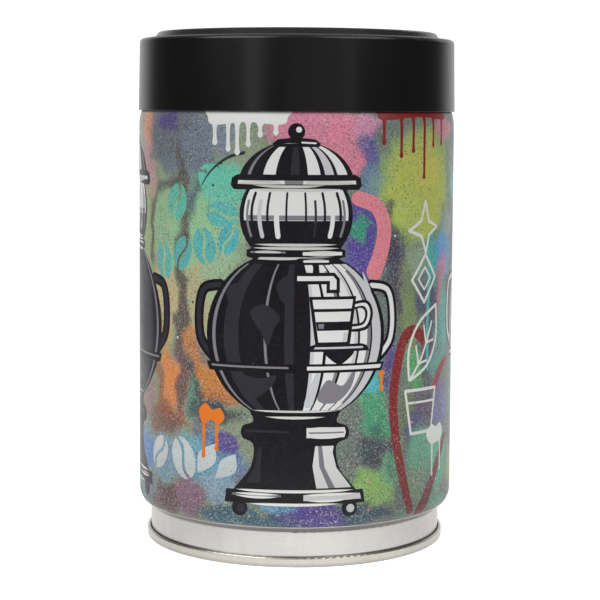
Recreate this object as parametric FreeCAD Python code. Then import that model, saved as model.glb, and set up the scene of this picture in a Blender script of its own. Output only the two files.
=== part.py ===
"""A round coffee tin with a push-on lid: every separate piece as its own solid, in millimetres.

The tin stands on its base seam at z = 0, with its axis on +Z. The can is a welded steel tube that is
necked in at both ends and closed by a double-seamed base and a double-seamed top ring. A peel-off foil
with a one-way valve closes the ring. A printed sleeve wraps the can, and a black lid pushes over its top.

Sheet metal and foil are drawn as one line in the (radius, height) plane, a list of corners, each with
the radius that the line is bent to there. The line is given its thickness and turned about the axis.
"""

import FreeCAD
import Part
import math
import os

# The can. Radii are to the axis, heights are above the surface that the tin stands on.
BODY_RADIUS = 49.5  # over the printed sleeve
CAN_HEIGHT = 153.3  # to the top of the upper seam, under the lid
SHEET = 0.25  # the steel of the can, the base and the top ring
NECK_RADIUS = 45.85  # outside the bare neck, at both ends
SLEEVE = 0.15  # thickness of the printed sleeve
FILM = 0.03  # clear space between two faces that are glued or pressed together

# Shoulders: where the wall starts to turn in, the radius that it turns with, and its steepest slope.
LOW_TURN_Z, LOW_TURN_RADIUS, LOW_SLOPE = 16.0, 6.0, 60.0
HIGH_TURN_Z, HIGH_TURN_RADIUS, HIGH_SLOPE = 130.3, 12.0, 40.0
LOW_NECK_BEND, HIGH_NECK_BEND = 1.0, 1.5
SLEEVE_BOTTOM_Z, SLEEVE_TOP_Z = 12.5, 137.4

# Double seams, measured from the seam's outer end plane.
SEAM_LENGTH = 3.1
SEAM_GAP = 0.13  # between the layers of a seam
CHUCK_GAP = 0.05  # between the end's inner wall and the can's wall
HOOK_BEND = 0.36
SEAM_TOP_BEND = 0.6
HOOK_TIP = 1.0  # where the end's hook stops inside the seam
CAN_HOOK_LENGTH = 2.5

# The base and the top ring.
BASE_PANEL_DEPTH, BASE_GROOVE_DEPTH, BASE_BEAD_DEPTH = 4.6, 5.5, 5.0
RING_PANEL_DEPTH, RING_GROOVE_DEPTH = 3.9, 4.3
MOUTH_RADIUS = 40.2  # the clear opening of the top ring

# The lid.
LID_BOTTOM_Z, LID_SHOULDER_Z, LID_TOP_Z = 134.65, 156.9, 159.0
LID_FOOT_RADIUS, LID_TOP_RADIUS = 49.65, 49.27
LID_WALL = 1.3
LID_BORE_RADIUS = 48.0
LID_CORNER = 1.3
STACK_RADIUS, STACK_TOP_RADIUS, STACK_DISH_RADIUS = 44.9, 43.4, 38.9
DISH_Z = 157.8
PLUG_OUTER, PLUG_INNER, PLUG_BOTTOM_Z = 44.9, 43.7, 151.2
RIB_COUNT, RIB_WIDTH, RIB_RADIUS, RIB_BOTTOM_Z = 12, 1.0, 47.35, 140.0
NIB_COUNT, NIB_SPAN, NIB_RADIUS, NIB_Z, NIB_HALF_HEIGHT = 6, 16.0, 47.3, 149.0, 0.9
SEAL_INNER, SEAL_OUTER, SEAL_THICKNESS = 44.95, 47.25, 2.1

# The foil and its valve.
FOIL = 0.12
FOIL_RADIUS = 43.2
FOIL_RING_RADIUS, FOIL_RING_WIDTH, FOIL_RING_HEIGHT = 16.0, 3.4, 0.4
TAB_WIDTH, TAB_LENGTH, TAB_LIFT = 16.0, 20.0, 0.45
VENT_COUNT, VENT_RADIUS, VENT_CIRCLE = 5, 0.4, 3.2
VALVE_FLANGE_RADIUS, VALVE_RADIUS, VALVE_CUP_RADIUS = 10.5, 7.2, 6.2
VALVE_DEPTH, VALVE_FLANGE = 3.1, 0.5
SEAT_DEPTH, SEAT_THICKNESS = 1.8, 0.5
FLAP_RADIUS, FLAP_THICKNESS = 5.8, 0.3
FILTER_RADIUS, FILTER_THICKNESS = 6.1, 0.5

AXIS_POINT = FreeCAD.Vector(0, 0, 0)
AXIS = FreeCAD.Vector(0, 0, 1)


def point(radius, height):
    """A point of a profile, in the XZ half-plane."""
    return FreeCAD.Vector(radius, 0, height)


def turned(face):
    """The solid that a profile face sweeps in one full turn about the axis."""
    return face.revolve(AXIS_POINT, AXIS, 360)


def offset_path(corners, shift):
    """Edges along a bent line, moved sideways by shift, to the left of its direction.

    corners are (radius, height, bend); the bends of the first and last corner are not used.
    """
    spots = [FreeCAD.Vector(r, 0, z) for r, z, bend in corners]
    ways = [(b - a).normalize() for a, b in zip(spots, spots[1:])]
    lefts = [FreeCAD.Vector(-w.z, 0, w.x) for w in ways]
    edges = []
    start = spots[0] + lefts[0] * shift
    for i in range(1, len(spots) - 1):
        before, after = lefts[i - 1], lefts[i]
        both = before + after
        corner = spots[i] + both * (shift / (1 + before.dot(after)))
        side = 1 if ways[i - 1].dot(after) < 0 else -1
        radius = corners[i][2] - side * shift
        half_turn = ways[i - 1].getAngle(ways[i]) / 2
        reach = radius * math.tan(half_turn)
        first = corner - ways[i - 1] * reach
        last = corner + ways[i] * reach
        centre = first + before * (side * radius)
        middle = centre - both.normalize() * (side * radius)
        edges.append(Part.LineSegment(start, first).toShape())
        edges.append(Part.Arc(first, middle, last).toShape())
        start = last
    edges.append(Part.LineSegment(start, spots[-1] + lefts[-1] * shift).toShape())
    return edges


def strip(corners, low, high):
    """The face between two offsets of one bent line."""
    one = offset_path(corners, low)
    two = offset_path(corners, high)
    caps = [
        Part.LineSegment(one[0].firstVertex(True).Point, two[0].firstVertex(True).Point).toShape(),
        Part.LineSegment(one[-1].lastVertex(True).Point, two[-1].lastVertex(True).Point).toShape(),
    ]
    return Part.Face(Part.Wire(Part.__sortEdges__(one + two + caps)))


def sheet(corners, thickness=SHEET):
    """A turned sheet whose middle follows the bent line."""
    return turned(strip(corners, -thickness / 2, thickness / 2))


def outline(corners):
    """The face inside a closed outline of (radius, height, fillet) corners."""
    spots = [point(r, z) for r, z, fillet in corners]
    edges = []
    ends = []
    for i, here in enumerate(spots):
        fillet = corners[i][2]
        back = (spots[i - 1] - here).normalize()
        on = (spots[(i + 1) % len(spots)] - here).normalize()
        if not fillet:
            ends.append((here, here))
            continue
        half = back.getAngle(on) / 2
        first = here + back * (fillet / math.tan(half))
        last = here + on * (fillet / math.tan(half))
        inward = (back + on).normalize()
        middle = here + inward * (fillet / math.sin(half) - fillet)
        edges.append(Part.Arc(first, middle, last).toShape())
        ends.append((first, last))
    for i in range(len(ends)):
        edges.append(Part.LineSegment(ends[i - 1][1], ends[i][0]).toShape())
    return Part.Face(Part.Wire(Part.__sortEdges__(edges)))


def box_ring(inner, outer, bottom, top):
    """A flat ring, or a disc where inner is 0."""
    ring = Part.makeCylinder(outer, top - bottom, point(0, bottom))
    return ring.cut(Part.makeCylinder(inner, top - bottom, point(0, bottom))) if inner else ring


def around(shape, count, first_angle=0.0):
    """Copies of a shape, evenly spaced about the axis."""
    copies = []
    for i in range(count):
        copy = shape.copy()
        copy.rotate(AXIS_POINT, AXIS, first_angle + 360.0 * i / count)
        copies.append(copy)
    return copies


# Middle lines of the seam's five layers, from the inside out.
CAN_WALL = NECK_RADIUS - SHEET / 2
CHUCK_WALL = CAN_WALL - SHEET - CHUCK_GAP
END_HOOK = CAN_WALL + SHEET + SEAM_GAP
CAN_HOOK = END_HOOK + SHEET + SEAM_GAP
SEAM_WALL = CAN_HOOK + SHEET + SEAM_GAP
FLANGE_DEPTH = SHEET / 2 + SHEET + 0.1  # middle line of the can's flange, inside the end's curl


def at_base(depth):
    """Height of a point at that depth in the base seam."""
    return depth


def at_top(depth):
    """Height of a point at that depth in the upper seam."""
    return CAN_HEIGHT - depth


def seamed_end(height):
    """Middle line of an end, from its hook to the foot of its inner wall, on either seam."""
    return [
        (END_HOOK, height(HOOK_TIP), 0),
        (END_HOOK, height(SEAM_LENGTH - SHEET / 2), HOOK_BEND),
        (SEAM_WALL, height(SEAM_LENGTH - SHEET / 2), HOOK_BEND),
        (SEAM_WALL, height(SHEET / 2), SEAM_TOP_BEND),
        (CHUCK_WALL, height(SHEET / 2), SEAM_TOP_BEND),
    ]


def can_path():
    """Middle line of the can's sheet, from its lower hook to its upper hook."""
    wall = BODY_RADIUS - SLEEVE - FILM - SHEET / 2
    inset = BODY_RADIUS - wall
    step = wall - CAN_WALL
    low_bend = LOW_TURN_RADIUS - inset
    high_bend = HIGH_TURN_RADIUS - inset
    low_corner = LOW_TURN_Z - low_bend * math.tan(math.radians(LOW_SLOPE / 2))
    high_corner = HIGH_TURN_Z + high_bend * math.tan(math.radians(HIGH_SLOPE / 2))
    low_neck = low_corner - step / math.tan(math.radians(LOW_SLOPE))
    high_neck = high_corner + step / math.tan(math.radians(HIGH_SLOPE))
    return [
        (CAN_HOOK, at_base(CAN_HOOK_LENGTH), 0),
        (CAN_HOOK, at_base(FLANGE_DEPTH), HOOK_BEND),
        (CAN_WALL, at_base(FLANGE_DEPTH), HOOK_BEND),
        (CAN_WALL, low_neck, LOW_NECK_BEND),
        (wall, low_corner, low_bend),
        (wall, high_corner, high_bend),
        (CAN_WALL, high_neck, HIGH_NECK_BEND),
        (CAN_WALL, at_top(FLANGE_DEPTH), HOOK_BEND),
        (CAN_HOOK, at_top(FLANGE_DEPTH), HOOK_BEND),
        (CAN_HOOK, at_top(CAN_HOOK_LENGTH), 0),
    ]


def can_body():
    """The welded tube, with the lap of its side seam standing a little proud on the inside, at +Y."""
    tube = sheet(can_path())
    inside = BODY_RADIUS - SLEEVE - FILM - SHEET
    lap_width, lap_rise = 1.0, 0.15
    lap = Part.makeBox(lap_width, lap_rise + SHEET / 2, HIGH_TURN_Z - LOW_TURN_Z)
    lap.translate(FreeCAD.Vector(-lap_width / 2, inside - lap_rise, LOW_TURN_Z))
    return tube.fuse(lap).removeSplitter()


def printed_sleeve():
    """The printed skin over the can's wall and shoulders, cut off level at both ends."""
    near = SHEET / 2 + FILM
    skin = turned(strip(can_path()[2:8], -near - SLEEVE, -near))
    band = Part.makeCylinder(
        BODY_RADIUS + 1, SLEEVE_TOP_Z - SLEEVE_BOTTOM_Z, point(0, SLEEVE_BOTTOM_Z)
    )
    return skin.common(band)


def base_end():
    """The recessed base: inner wall, groove, flat panel and one raised stiffening disc."""
    groove_inner, panel_edge = CHUCK_WALL - 1.8, CHUCK_WALL - 2.6
    bead_outer, bead_inner, bead_run, bend = 37.0, 22.0, 0.8, 0.7
    panel, bead = BASE_PANEL_DEPTH, BASE_BEAD_DEPTH
    return sheet(
        seamed_end(at_base)
        + [
            (CHUCK_WALL, BASE_GROOVE_DEPTH, bend),
            (groove_inner, BASE_GROOVE_DEPTH, bend),
            (panel_edge, panel, bend),
            (bead_outer, panel, bend),
            (bead_outer - bead_run, bead, bend),
            (bead_inner, bead, bend),
            (bead_inner - bead_run, panel, bend),
            (0, panel, 0),
        ]
    )


def top_ring():
    """The ring seamed to the can's top: groove, flat seat for the foil, and a hemmed mouth."""
    seat, groove, hem_depth, hem_length, hem_bend = RING_PANEL_DEPTH, RING_GROOVE_DEPTH, 0.7, 1.0, 0.3
    mouth = MOUTH_RADIUS + SHEET / 2
    return sheet(
        seamed_end(at_top)
        + [
            (CHUCK_WALL, at_top(groove), 0.5),
            (CHUCK_WALL - 1.4, at_top(groove), 0.4),
            (CHUCK_WALL - 1.9, at_top(seat), 0.4),
            (mouth, at_top(seat), hem_bend),
            (mouth, at_top(seat + hem_depth), hem_bend),
            (mouth + hem_length, at_top(seat + hem_depth), 0),
        ]
    )


def seam_compound(height):
    """The bead of sealing compound left between the end's hook and the can's flange."""
    half_width, near, far = 0.17, 0.76, 0.95
    bottom, top = sorted((height(near), height(far)))
    return box_ring(END_HOOK - half_width, END_HOOK + half_width, bottom, top)


FOIL_Z = at_top(RING_PANEL_DEPTH) + SHEET / 2 + 0.02 + FOIL / 2  # middle of the foil
FOIL_UNDER = FOIL_Z - FOIL / 2


def foil_vents():
    """Pin holes over the valve."""
    hole = Part.makeCylinder(VENT_RADIUS, 4, FreeCAD.Vector(VENT_CIRCLE, 0, FOIL_Z - 2))
    return around(hole, VENT_COUNT)


def foil_membrane():
    """The peel-off foil: a disc with a pressed ring, pin holes, and a tab folded back over it at -Y."""
    rise, run, bend = FOIL_RING_HEIGHT, 0.8, 0.4
    ring_in = FOIL_RING_RADIUS - FOIL_RING_WIDTH
    disc = sheet(
        [
            (FOIL_RADIUS, FOIL_Z, 0),
            (FOIL_RING_RADIUS, FOIL_Z, bend),
            (FOIL_RING_RADIUS - run, FOIL_Z + rise, bend),
            (ring_in, FOIL_Z + rise, bend),
            (ring_in - run, FOIL_Z, bend),
            (0, FOIL_Z, 0),
        ],
        FOIL,
    )
    fold = strip(
        [
            (FOIL_RADIUS - 2.0, FOIL_Z, 0),
            (FOIL_RADIUS, FOIL_Z, TAB_LIFT / 2 - 0.01),
            (FOIL_RADIUS, FOIL_Z + TAB_LIFT, TAB_LIFT / 2 - 0.01),
            (FOIL_RADIUS - 6.0, FOIL_Z + TAB_LIFT, 0),
        ],
        -FOIL / 2,
        FOIL / 2,
    ).extrude(FreeCAD.Vector(0, TAB_WIDTH, 0))
    fold.translate(FreeCAD.Vector(0, -TAB_WIDTH / 2, 0))
    fold.rotate(AXIS_POINT, AXIS, -90)
    end_radius = TAB_WIDTH / 2
    straight = TAB_LENGTH - end_radius - 5.0
    tab_under = FOIL_Z + TAB_LIFT - FOIL / 2
    plate = Part.makeBox(TAB_WIDTH, straight, FOIL)
    plate.translate(FreeCAD.Vector(-end_radius, 5.0 - FOIL_RADIUS, tab_under))
    tip = Part.makeCylinder(
        end_radius, FOIL, FreeCAD.Vector(0, 5.0 + straight - FOIL_RADIUS, tab_under)
    )
    foil = disc.fuse([fold, plate, tip]).removeSplitter()
    return foil.cut(Part.makeCompound(foil_vents()))


def valve_body():
    """The valve's moulding under the foil: flange, cup, and a seat with gas holes."""
    flange_bottom = FOIL_UNDER - 0.02 - VALVE_FLANGE
    top = FOIL_UNDER - 0.02
    bottom = top - VALVE_DEPTH
    seat_top = top - SEAT_DEPTH
    moulding = turned(
        outline(
            [
                (VALVE_CUP_RADIUS, top, 0),
                (VALVE_FLANGE_RADIUS, top, 0),
                (VALVE_FLANGE_RADIUS, flange_bottom, 0.15),
                (VALVE_RADIUS, flange_bottom, 0.2),
                (VALVE_RADIUS, bottom, 0.2),
                (VALVE_CUP_RADIUS, bottom, 0),
                (VALVE_CUP_RADIUS, seat_top - SEAT_THICKNESS, 0),
                (0, seat_top - SEAT_THICKNESS, 0),
                (0, seat_top, 0),
                (VALVE_CUP_RADIUS, seat_top, 0),
            ]
        )
    )
    hole = Part.makeCylinder(
        0.7, SEAT_THICKNESS + 1, FreeCAD.Vector(2.6, 0, seat_top - SEAT_THICKNESS - 0.5)
    )
    return moulding.cut(Part.makeCompound(around(hole, VENT_COUNT, 36)))


def valve_flap():
    """The rubber disc that lies on the seat and lifts to let gas out."""
    seat_top = FOIL_UNDER - 0.02 - SEAT_DEPTH
    return box_ring(0, FLAP_RADIUS, seat_top + 0.02, seat_top + 0.02 + FLAP_THICKNESS)


def valve_filter():
    """The fleece disc under the seat that keeps coffee dust out of the valve."""
    top = FOIL_UNDER - 0.02 - SEAT_DEPTH - SEAT_THICKNESS - 0.02
    return box_ring(0, FILTER_RADIUS, top - FILTER_THICKNESS, top)


def lid_shell():
    """The lid's turned shape: skirt, shoulder, raised stacking ring round a dished top, inner plug."""
    under = LID_SHOULDER_Z - LID_WALL
    crown_under = LID_TOP_Z - LID_WALL
    dish_under = DISH_Z - LID_WALL
    mouth_radius, mouth_height = 49.1, 2.6
    return turned(
        outline(
            [
                (mouth_radius, LID_BOTTOM_Z, 0),
                (LID_FOOT_RADIUS, LID_BOTTOM_Z, 0.15),
                (LID_TOP_RADIUS, LID_SHOULDER_Z, LID_CORNER),
                (STACK_RADIUS, LID_SHOULDER_Z, 0.5),
                (STACK_TOP_RADIUS, LID_TOP_Z, 1.1),
                (STACK_DISH_RADIUS, LID_TOP_Z, 0.6),
                (STACK_DISH_RADIUS - 0.7, DISH_Z, 0.5),
                (0, DISH_Z, 0),
                (0, dish_under, 0),
                (STACK_DISH_RADIUS, dish_under, 0.5),
                (STACK_DISH_RADIUS + 0.7, crown_under, 0.4),
                (STACK_TOP_RADIUS - 0.7, crown_under, 0.4),
                (PLUG_INNER - 0.2, under, 0.3),
                (PLUG_INNER, PLUG_BOTTOM_Z, 0),
                (PLUG_OUTER - 0.3, PLUG_BOTTOM_Z, 0),
                (PLUG_OUTER, PLUG_BOTTOM_Z + 0.8, 0),
                (PLUG_OUTER, under, 0),
                (LID_BORE_RADIUS, under, 0),
                (LID_BORE_RADIUS, LID_BOTTOM_Z + mouth_height, 0.4),
            ]
        )
    )


def lid_ribs():
    """Upright ribs inside the skirt that centre the lid on the upper seam."""
    bite = 0.3  # how far each rib runs into the skirt, so that the two fuse
    depth = LID_BORE_RADIUS + bite - RIB_RADIUS
    rib = Part.makeBox(depth, RIB_WIDTH, LID_SHOULDER_Z - LID_WALL - RIB_BOTTOM_Z + bite)
    rib.translate(FreeCAD.Vector(RIB_RADIUS, -RIB_WIDTH / 2, RIB_BOTTOM_Z))
    return around(rib, RIB_COUNT)


def lid_nibs():
    """Short ridges inside the skirt that snap under the upper seam."""
    bite = 0.3
    ridge = outline(
        [
            (LID_BORE_RADIUS + bite, NIB_Z - NIB_HALF_HEIGHT, 0),
            (LID_BORE_RADIUS + bite, NIB_Z + NIB_HALF_HEIGHT, 0),
            (LID_BORE_RADIUS, NIB_Z + NIB_HALF_HEIGHT, 0),
            (NIB_RADIUS, NIB_Z, 0.2),
            (LID_BORE_RADIUS, NIB_Z - NIB_HALF_HEIGHT, 0),
        ]
    )
    nib = ridge.revolve(AXIS_POINT, AXIS, NIB_SPAN)
    return around(nib, NIB_COUNT, 15 - NIB_SPAN / 2)


def lid_cap():
    """The lid as one moulding, with a small gate mark in the middle of its underside."""
    gate = Part.makeCone(1.6, 1.1, 0.6, point(0, DISH_Z - LID_WALL + 0.1), FreeCAD.Vector(0, 0, -1))
    return lid_shell().fuse(lid_ribs() + lid_nibs() + [gate]).removeSplitter()


def lid_seal_ring():
    """The soft ring under the lid's shoulder that presses on the upper seam."""
    top = LID_SHOULDER_Z - LID_WALL - 0.02
    bottom = top - SEAL_THICKNESS
    groove = 0.5
    return turned(
        outline(
            [
                (SEAL_INNER, top, 0),
                (SEAL_INNER, bottom, 0.2),
                (SEAL_INNER + groove, bottom, 0),
                (SEAL_INNER + 2 * groove, bottom + 0.25, 0.15),
                (SEAL_OUTER - groove, bottom, 0),
                (SEAL_OUTER, bottom, 0.2),
                (SEAL_OUTER, top, 0),
            ]
        )
    )


NODES = {
    "can_body": can_body,
    "printed_sleeve": printed_sleeve,
    "base_end": base_end,
    "base_seam_compound": lambda: seam_compound(at_base),
    "top_ring": top_ring,
    "top_seam_compound": lambda: seam_compound(at_top),
    "foil_membrane": foil_membrane,
    "valve_body": valve_body,
    "valve_flap": valve_flap,
    "valve_filter": valve_filter,
    "lid_seal_ring": lid_seal_ring,
    "lid_cap": lid_cap,
}

os.makedirs("parts", exist_ok=True)
for name, make in NODES.items():
    shape = make()
    print(f"{name}: {len(shape.Solids)} solid, valid {shape.isValid()}, {shape.Volume:.1f} mm3")
    if len(shape.Solids) != 1 or not shape.isValid():
        raise ValueError(f"{name} is not one valid solid")
    shape.Solids[0].exportStep(os.path.join("parts", name + ".step"))
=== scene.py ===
"""Looks of the coffee tin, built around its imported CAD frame. Metres, +Z up, the front at -Y."""
import math
import random

import bpy
import numpy as np
from mathutils import Matrix, Vector, noise
from mathutils.geometry import delaunay_2d_cdt

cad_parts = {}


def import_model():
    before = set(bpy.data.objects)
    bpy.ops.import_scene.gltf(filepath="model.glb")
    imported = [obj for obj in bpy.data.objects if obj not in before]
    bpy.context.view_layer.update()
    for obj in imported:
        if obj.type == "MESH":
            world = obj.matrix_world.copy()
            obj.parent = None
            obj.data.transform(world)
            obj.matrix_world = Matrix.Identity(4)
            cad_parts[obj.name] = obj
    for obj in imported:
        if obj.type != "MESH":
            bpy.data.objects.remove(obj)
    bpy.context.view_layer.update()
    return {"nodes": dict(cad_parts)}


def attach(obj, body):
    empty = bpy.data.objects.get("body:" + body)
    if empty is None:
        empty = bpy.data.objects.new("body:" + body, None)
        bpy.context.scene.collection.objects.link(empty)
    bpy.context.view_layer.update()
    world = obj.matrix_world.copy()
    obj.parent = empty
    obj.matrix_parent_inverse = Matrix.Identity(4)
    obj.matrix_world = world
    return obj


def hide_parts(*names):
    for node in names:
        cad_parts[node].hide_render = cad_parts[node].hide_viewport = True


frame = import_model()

MM = 0.001


# ---------------------------------------------------------------- materials
class Nodes:
    """A material's node tree, with short calls to add and join nodes."""

    def __init__(self, name):
        self.material = bpy.data.materials.new(name)
        self.material.use_nodes = True
        self.tree = self.material.node_tree
        self.shader = self.tree.nodes["Principled BSDF"]

    def add(self, kind, **settings):
        node = self.tree.nodes.new("ShaderNode" + kind)
        for key, value in settings.items():
            setattr(node, key, value)
        return node

    def join(self, source, target):
        self.tree.links.new(source, target)

    def put(self, **values):
        """Sets the shader's own sockets."""
        for key, value in values.items():
            self.shader.inputs[key.replace("_", " ")].default_value = value

    def place(self, scale=(1, 1, 1)):
        """Object coordinates in metres, stretched by scale."""
        coords = self.add("TexCoord").outputs["Object"]
        mapping = self.add("Mapping")
        mapping.inputs["Scale"].default_value = scale
        self.join(coords, mapping.inputs["Vector"])
        return mapping.outputs["Vector"]

    def noise(self, vector, scale, detail=4.0, rough=0.5, distortion=0.0):
        node = self.add("TexNoise")
        node.inputs["Scale"].default_value = scale
        node.inputs["Detail"].default_value = detail
        node.inputs["Roughness"].default_value = rough
        node.inputs["Distortion"].default_value = distortion
        self.join(vector, node.inputs["Vector"])
        return node.outputs["Fac"]

    def ramp(self, value, low, high, out_low, out_high):
        """value from low..high to out_low..out_high, clamped."""
        node = self.add("MapRange")
        for key, number in (
            ("From Min", low), ("From Max", high), ("To Min", out_low), ("To Max", out_high)
        ):
            node.inputs[key].default_value = number
        self.join(value, node.inputs["Value"])
        return node.outputs["Result"]

    def blend(self, factor, one, two, mode="MIX"):
        node = self.add("Mix", data_type="RGBA", blend_type=mode)
        for socket, value in ((node.inputs[0], factor), (node.inputs[6], one), (node.inputs[7], two)):
            if isinstance(value, (int, float)):
                socket.default_value = value
            elif isinstance(value, tuple):
                socket.default_value = (*value, 1)
            else:
                self.join(value, socket)
        return node.outputs[2]

    def bump(self, height, strength, distance, before=None):
        node = self.add("Bump")
        node.inputs["Strength"].default_value = strength
        node.inputs["Distance"].default_value = distance
        self.join(height, node.inputs["Height"])
        if before is not None:
            self.join(before, node.inputs["Normal"])
        self.join(node.outputs["Normal"], self.shader.inputs["Normal"])
        return node.outputs["Normal"]


def tinplate(name, colour, rough, streaks, shade=()):
    """Bright tin over steel: fine drawn lines round the axis, faint upright streaks, stains and specks.
    shade lists bands of painted shade, where the tin's colour is darkened as if shade fell there, as (height
    of the middle, half height, how dark), in metres."""
    m = Nodes(name)
    m.put(Metallic=1.0)
    where = m.place()
    lines = m.noise(m.place((60, 60, 9000)), 1.0, 3.0, 0.6)
    clouds = m.noise(where, 90.0, 3.0)
    specks = m.noise(where, 2200.0, 2.0)
    tone = m.blend(m.ramp(clouds, 0.35, 0.7, 0, 1), colour, tuple(c * 0.92 for c in colour))
    upright = m.noise(m.place((150, 150, 6)), 1.0, 3.0, 0.6)
    tone = m.blend(m.ramp(upright, 0.4, 0.7, 0, 0.6), tone, tuple(c * 0.85 for c in colour))
    tone = m.blend(m.ramp(specks, 0.62, 0.72, 0, 0.25), tone, tuple(c * 0.6 for c in colour))
    if shade:
        split = m.add("SeparateXYZ")
        m.join(where, split.inputs[0])
        # Each band is painted shade: the colour darkens towards the band's middle height.
        for middle, half, dark in shade:
            away = m.add("Math", operation="SUBTRACT")
            m.join(split.outputs["Z"], away.inputs[0])
            away.inputs[1].default_value = middle
            size = m.add("Math", operation="ABSOLUTE")
            m.join(away.outputs[0], size.inputs[0])
            band = m.ramp(size.outputs[0], half * 0.3, half, dark, 0)
            tone = m.blend(band, tone, tuple(c * 0.12 for c in colour))
    m.join(tone, m.shader.inputs["Base Color"])
    m.join(m.ramp(lines, 0.3, 0.7, rough - 0.05, rough + 0.07), m.shader.inputs["Roughness"])
    m.bump(lines, streaks, 0.00002)
    return m.material


def lid_plastic():
    """Satin black moulding: an even fine grain, a little dust, and a broad unevenness in its shine."""
    m = Nodes("black_moulded_plastic")
    m.put(IOR=1.46)
    where = m.place()
    fine = m.noise(where, 9000.0, 2.0)
    broad = m.noise(m.place((30, 30, 12)), 1.0, 3.0)
    dust = m.noise(where, 1500.0, 2.0)
    tone = m.blend(m.ramp(dust, 0.66, 0.74, 0, 0.12), (0.0025, 0.0025, 0.0032), (0.03, 0.03, 0.03))
    m.join(tone, m.shader.inputs["Base Color"])
    m.join(m.ramp(broad, 0.3, 0.7, 0.22, 0.3), m.shader.inputs["Roughness"])
    m.bump(fine, 0.12, 0.00002)
    return m.material


def foil_look():
    """Satin aluminium foil, with soft dents and a fine rolled grain."""
    m = Nodes("membrane_foil")
    m.put(Metallic=1.0)
    where = m.place()
    dents = m.noise(where, 120.0, 4.0, 0.6, 0.8)
    rolled = m.noise(m.place((400, 8000, 400)), 1.0, 2.0)
    tone = m.blend(m.ramp(dents, 0.3, 0.7, 0, 1), (0.84, 0.84, 0.86), (0.72, 0.72, 0.74))
    m.join(tone, m.shader.inputs["Base Color"])
    m.join(m.ramp(rolled, 0.3, 0.7, 0.24, 0.36), m.shader.inputs["Roughness"])
    m.bump(rolled, 0.15, 0.00003, m.bump(dents, 0.5, 0.0006))
    return m.material


def soft_look(name, colour, darker, rough, scale, relief, ior=1.5):
    """Rubber, plastic or fleece: mottled, with a fine relief."""
    m = Nodes(name)
    m.put(IOR=ior)
    where = m.place()
    coarse = m.noise(where, scale, 3.0, 0.6)
    fine = m.noise(where, scale * 9, 3.0, 0.7)
    m.join(m.blend(m.ramp(coarse, 0.3, 0.7, 0, 1), colour, darker), m.shader.inputs["Base Color"])
    m.join(m.ramp(fine, 0.3, 0.7, rough - 0.06, rough + 0.06), m.shader.inputs["Roughness"])
    m.bump(fine, 0.3, relief)
    return m.material


def fleece():
    """Pressed white fleece: crossing fibres."""
    m = Nodes("filter_fleece")
    m.put(IOR=1.4, Sheen_Weight=0.3, Roughness=0.9)
    one = m.noise(m.place((2600, 500, 2600)), 1.0, 3.0, 0.6, 1.5)
    two = m.noise(m.place((500, 2600, 2600)), 1.0, 3.0, 0.6, 1.5)
    fibres = m.add("Math", operation="MAXIMUM")
    m.join(one, fibres.inputs[0])
    m.join(two, fibres.inputs[1])
    tone = m.blend(m.ramp(fibres.outputs[0], 0.4, 0.65, 0, 1), (0.66, 0.65, 0.62), (0.86, 0.85, 0.82))
    m.join(tone, m.shader.inputs["Base Color"])
    m.bump(fibres.outputs[0], 0.8, 0.0001)
    return m.material


COMPOUND = ((0.27, 0.27, 0.24), (0.2, 0.2, 0.18), 0.6, 900, 0.00003)
LOOKS = {
    # The wall's band at 11.2 mm is painted shade: a dark line where the wall turns in under the print.
    "can_body": tinplate("tinplate_wall", (0.53, 0.51, 0.493), 0.27, 0.05, [(0.0112, 0.0012, 0.6)]),
    # The end's band at its foot is painted shade: the seam darkens towards its bottom edge.
    "base_end": tinplate("tinplate_end_lacquered", (0.51, 0.48, 0.435), 0.25, 0.05, [(0.0, 0.0014, 0.35)]),
    "top_ring": tinplate("tinplate_ring_lacquered", (0.76, 0.74, 0.70), 0.26, 0.15),
    "base_seam_compound": soft_look("base_seam_compound", *COMPOUND),
    "top_seam_compound": soft_look("top_seam_compound", *COMPOUND),
    "foil_membrane": foil_look(),
    "valve_body": soft_look("valve_plastic", (0.78, 0.79, 0.79), (0.7, 0.71, 0.72), 0.42, 700, 0.00002),
    "valve_flap": soft_look("valve_rubber", (0.5, 0.38, 0.17), (0.42, 0.3, 0.12), 0.36, 900, 0.00002),
    "valve_filter": fleece(),
    "lid_seal_ring": soft_look("soft_seal", (0.028, 0.028, 0.03), (0.02, 0.02, 0.022), 0.62, 1100, 0.00004),
    "lid_cap": lid_plastic(),
}
for node, look in LOOKS.items():
    mesh = frame["nodes"][node].data
    mesh.materials.clear()
    mesh.materials.append(look)


def print_look():
    """Satin printed film: the mesh's own ink, broken up by sprayed grain and dots."""
    m = Nodes("printed_film")
    m.put(IOR=1.33)
    ink = m.add("Attribute", attribute_name="ink").outputs["Color"]
    grain = m.add("Attribute", attribute_name="grain").outputs["Fac"]
    where = m.place()
    mist = m.noise(where, 1900.0, 3.0, 0.7)
    patch = m.noise(where, 160.0, 3.0, 0.6)
    soft = m.noise(where, 700.0, 3.0, 0.6)
    light = m.ramp(mist, 0.52, 0.62, 0, 0.5)
    dark = m.ramp(mist, 0.48, 0.36, 0, 0.75)
    much = m.ramp(patch, 0.35, 0.65, 0.4, 1.0)
    amount = m.add("Math", operation="MULTIPLY")
    m.join(grain, amount.inputs[0])
    m.join(much, amount.inputs[1])

    def shared(value):
        node = m.add("Math", operation="MULTIPLY")
        m.join(value, node.inputs[0])
        m.join(amount.outputs[0], node.inputs[1])
        return node.outputs[0]

    cloudy = m.blend(shared(m.ramp(soft, 0.35, 0.65, 0, 0.16)), ink, (0.10, 0.10, 0.105))
    dotted = m.blend(shared(light), cloudy, (0.53, 0.54, 0.51))
    final = m.blend(shared(dark), dotted, (0.035, 0.035, 0.04))
    m.join(final, m.shader.inputs["Base Color"])
    m.join(m.ramp(soft, 0.3, 0.7, 0.3, 0.4), m.shader.inputs["Roughness"])
    m.bump(mist, 0.06, 0.00002)
    return m.material


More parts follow.
